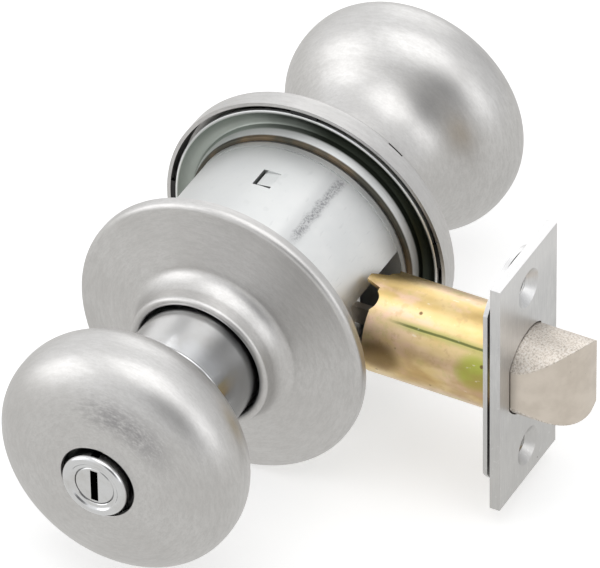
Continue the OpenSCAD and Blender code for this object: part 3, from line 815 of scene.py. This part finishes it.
def bolt():
    """Spring bolt: a flat sided rod with a rounded nose."""
    nose_r = BOLT_HIGH.x - FACE.x + 0.1
    nose_y = BOLT_LOW.y + nose_r
    piece = rod("latch_bolt_body", BOLT_R, (BOLT_LOW.x, 0, 0), (BOLT_HIGH.x + 2, 0, 0), 160)
    sides = [Vector((BOLT_LOW.x - 1, BOLT_LOW.y, 0)), Vector((FACE.x, BOLT_LOW.y, 0))]
    sides += [Vector((x, y, 0)) for x, y in arc(FACE.x, nose_y, nose_r, -90, 0, 28)
              if x > FACE.x + 0.05 and x < BOLT_HIGH.x - 0.02]
    sides += [Vector((BOLT_HIGH.x, nose_y - 1.6, 0)), Vector((BOLT_HIGH.x, BOLT_HIGH.y, 0)),
              Vector((BOLT_LOW.x - 1, BOLT_HIGH.y, 0))]
    combine(piece, [prism("nose_tool", sides, 20)], "INTERSECT")
    combine(piece, [
        box("tail_tool", (BOLT_LOW.x - 1, -0.8, -2.1), (55, 0.8, 2.1)),
        rod("rivet_tool", 1.2, (52, BOLT_LOW.y - 1, 0), (52, BOLT_HIGH.y + 1, 0), 32)])
    soften(piece, 0.2, 3, 32)
    return fit(piece, "bolt", "satin_nickel", "latch_bolt")


tube()
face()
backing()
bolt()


# ---- Inner parts keep the frame's shape and take their finish ----

ZINC = ["housing_cap_outside", "housing_cap_inside", "spring_seat", "outside_rose_liner", "retractor",
        "outside_spindle", "inside_spindle", "outside_knob_insert", "inside_knob_insert"]
INNER = {name: "zinc_plate" for name in ZINC}
INNER.update(tube_guide="yellow_zinc", bolt_tail="satin_nickel", tail_rivet="satin_nickel")
for name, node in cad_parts.items():
    if node.hide_render:
        continue
    finish = INNER.get(name, "spring_steel")
    node.data.materials.clear()
    node.data.materials.append(FINISHES[finish])


# ---- Floor, light and camera ----

FLOOR_GLOW = 0.45


def floor():
    """Plain pale floor under the roses; it keeps the shadow."""
    put_down()
    bpy.ops.mesh.primitive_plane_add(size=8, location=(0, 0, frame_box[0][2] - 0.0002))
    piece = settle(bpy.context.object, "floor")
    f = Finish("pale_floor", Roughness=0.9)
    f.shader.inputs["Specular IOR Level"].default_value = 0.0
    camera_ray = f.node("ShaderNodeLightPath", output="Is Camera Ray")
    glossy_ray = f.node("ShaderNodeLightPath", output="Is Glossy Ray")
    f.feed(Base_Color=f.mix(f.noise(0.004, 2.0), (0.86, 0.86, 0.86), (0.89, 0.89, 0.885)))
    paper = Wire(f, f.shader.outputs[0])
    glow = f.node("ShaderNodeEmission", {}, {"Color": (1, 1, 1), "Strength": FLOOR_GLOW})
    lit = f.node("ShaderNodeAddShader", {}, {0: paper, 1: glow})
    mirrored = f.node("ShaderNodeEmission", {}, {"Color": (1.0, 0.995, 0.98), "Strength": 0.86})
    shown = f.node("ShaderNodeMixShader", {}, {0: camera_ray, 1: paper, 2: lit})
    shown = f.node("ShaderNodeMixShader", {}, {0: glossy_ray, 1: shown, 2: mirrored})
    surface = [n for n in f.tree.nodes if n.type == "OUTPUT_MATERIAL"][0]
    f.tree.links.new(shown.socket, surface.inputs["Surface"])
    piece.data.materials.append(f.material)


floor()


def lamp(name, place, size, power):
    """A square softbox that faces the lockset."""
    put_down()
    bpy.ops.object.light_add(type="AREA", location=place)
    light = bpy.context.object
    light.name = name
    light.data.shape = "RECTANGLE"
    light.data.size = light.data.size_y = size
    light.data.energy = power
    light.rotation_euler = Vector(place).to_track_quat("Z", "Y").to_euler()


lamp("overhead_softbox", (0.10, -0.16, 0.80), 0.85, 2.2)
lamp("left_softbox", (-0.75, -0.45, 0.35), 0.6, 1.2)
lamp("back_softbox", (-0.2, 0.85, 0.45), 0.6, 0.8)
lamp("right_card", (0.8, -0.1, 0.35), 0.5, 0.6)


def surroundings():
    """A light tent: white to the camera, and grey with a darker opening round the lens for the metal."""
    world = bpy.data.worlds.new("light_tent")
    bpy.context.scene.world = world
    world.use_nodes = True
    f = Finish.__new__(Finish)
    f.tree = world.node_tree
    f.tree.nodes.clear()
    direction = f.node("ShaderNodeTexCoord", output="Generated")
    along = f.node("ShaderNodeSeparateXYZ", {}, {0: direction}).socket.node
    x, y, z = (Wire(f, along.outputs[i]) for i in range(3))
    lens = x * 0.45 + y * -0.70 + z * 0.55
    right = x * 0.88 + y * -0.42 + z * -0.20
    level = 0.98 + z.step(0.25, 0.95) * 0.12 - lens.step(0.85, 0.98) * 0.80
    level = level - right.step(0.90, 0.99) * 0.20
    level = level + (x * -1).step(0.1, 0.9) * 0.22
    behind = x * 0.30 + y * 0.93 + z * 0.20
    level = level - behind.step(0.80, 0.98) * 0.25
    glossy = f.node("ShaderNodeLightPath", output="Is Glossy Ray")
    level = level * (0.5 + glossy * 0.5)
    grey = f.node("ShaderNodeBackground", {}, {"Color": (0.985, 0.99, 1.0), "Strength": level})
    white = f.node("ShaderNodeBackground", {}, {"Color": (1, 1, 1), "Strength": 1.0})
    camera_ray = f.node("ShaderNodeLightPath", output="Is Camera Ray")
    sky = f.node("ShaderNodeMixShader", {}, {0: camera_ray, 1: grey, 2: white})
    f.node("ShaderNodeOutputWorld", {}, {"Surface": sky})


surroundings()


def camera(azimuth, elevation, roll, distance, lens, shift_right, shift_up):
    """A long lens on the near left of the lockset, looking down on it."""
    a, e, r = (math.radians(v) for v in (azimuth, elevation, roll))
    back = Vector((math.sin(a) * math.cos(e), -math.cos(a) * math.cos(e), math.sin(e)))
    level = Vector((math.cos(a), math.sin(a), 0))
    above = back.cross(level)
    right = math.cos(r) * level + math.sin(r) * above
    up = -math.sin(r) * level + math.cos(r) * above
    put_down()
    bpy.ops.object.camera_add()
    view = bpy.context.object
    view.name = "main_camera"
    place = back * distance + right * shift_right + up * shift_up
    turn = Matrix((right, up, back)).transposed().to_4x4()
    view.matrix_world = Matrix.Translation(place * MM) @ turn
    view.data.lens, view.data.sensor_width = lens, 36
    view.data.clip_start, view.data.clip_end = 0.1, 20
    bpy.context.scene.camera = view


camera(28.54, 39.06, -0.94, 1703.87, 498.83, 7.10, -0.38)
bpy.context.scene.view_settings.view_transform = "Standard"
